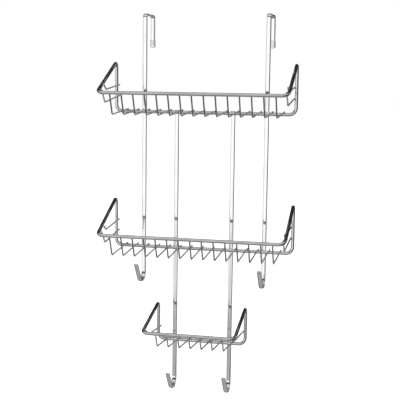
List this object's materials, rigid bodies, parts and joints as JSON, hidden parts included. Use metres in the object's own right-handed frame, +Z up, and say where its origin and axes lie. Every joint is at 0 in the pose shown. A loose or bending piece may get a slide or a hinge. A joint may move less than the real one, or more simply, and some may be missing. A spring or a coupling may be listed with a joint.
{
  "type": "over-the-door shower caddy",
  "caption": "Chromed steel wire shower caddy that hooks over a door, with stacked bottle baskets on flat bars that end in towel hooks.",
  "frame": {"origin": "midway between the two door hooks, on the door's top edge, in the plane of the bars' front faces", "axes": "+X to the user's right, +Y through the door away from the user, +Z up"},
  "size_m": [0.4086, 0.2128, 0.836],
  "materials": {
    "chrome_bar": "mirror-polished plating on flat steel bar",
    "chrome_frame_wire": "polished plating on heavy round steel wire",
    "chrome_thin_wire": "polished plating on thin round steel wire",
    "end_cap": "soft, cloudy translucent vinyl with a satin surface"
  },
  "bodies": {
    "root": {"left_outer_bar": "chrome_bar", "left_inner_bar": "chrome_bar", "left_door_hook_cap": "end_cap", "right_outer_bar": "chrome_bar", "right_inner_bar": "chrome_bar", "right_door_hook_cap": "end_cap", "top_basket_frame": "chrome_frame_wire", "top_floor_wire_01": "chrome_thin_wire", "top_floor_wire_02": "chrome_thin_wire", "top_floor_wire_03": "chrome_thin_wire", "top_floor_wire_04": "chrome_thin_wire", "top_floor_wire_05": "chrome_thin_wire", "top_floor_wire_06": "chrome_thin_wire", "top_floor_wire_07": "chrome_thin_wire", "top_floor_wire_08": "chrome_thin_wire", "top_floor_wire_09": "chrome_thin_wire", "top_floor_wire_10": "chrome_thin_wire", "top_floor_wire_11": "chrome_thin_wire", "top_floor_wire_12": "chrome_thin_wire", "top_floor_wire_13": "chrome_thin_wire", "top_floor_wire_14": "chrome_thin_wire", "top_floor_wire_15": "chrome_thin_wire", "top_left_side_wire_1": "chrome_thin_wire", "top_left_side_wire_2": "chrome_thin_wire", "top_right_side_wire_1": "chrome_thin_wire", "top_right_side_wire_2": "chrome_thin_wire", "middle_basket_frame": "chrome_frame_wire", "middle_floor_wire_01": "chrome_thin_wire", "middle_floor_wire_02": "chrome_thin_wire", "middle_floor_wire_03": "chrome_thin_wire", "middle_floor_wire_04": "chrome_thin_wire", "middle_floor_wire_05": "chrome_thin_wire", "middle_floor_wire_06": "chrome_thin_wire", "middle_floor_wire_07": "chrome_thin_wire", "middle_floor_wire_08": "chrome_thin_wire", "middle_floor_wire_09": "chrome_thin_wire", "middle_floor_wire_10": "chrome_thin_wire", "middle_floor_wire_11": "chrome_thin_wire", "middle_floor_wire_12": "chrome_thin_wire", "middle_floor_wire_13": "chrome_thin_wire", "middle_floor_wire_14": "chrome_thin_wire", "middle_floor_wire_15": "chrome_thin_wire", "middle_left_side_wire_1": "chrome_thin_wire", "middle_left_side_wire_2": "chrome_thin_wire", "middle_right_side_wire_1": "chrome_thin_wire", "middle_right_side_wire_2": "chrome_thin_wire", "bottom_basket_frame": "chrome_frame_wire", "bottom_floor_wire_01": "chrome_thin_wire", "bottom_floor_wire_02": "chrome_thin_wire", "bottom_floor_wire_03": "chrome_thin_wire", "bottom_floor_wire_04": "chrome_thin_wire", "bottom_floor_wire_05": "chrome_thin_wire", "bottom_floor_wire_06": "chrome_thin_wire", "bottom_floor_wire_07": "chrome_thin_wire", "bottom_left_side_wire_1": "chrome_thin_wire", "bottom_right_side_wire_1": "chrome_thin_wire"}
  },
  "joints": []
}
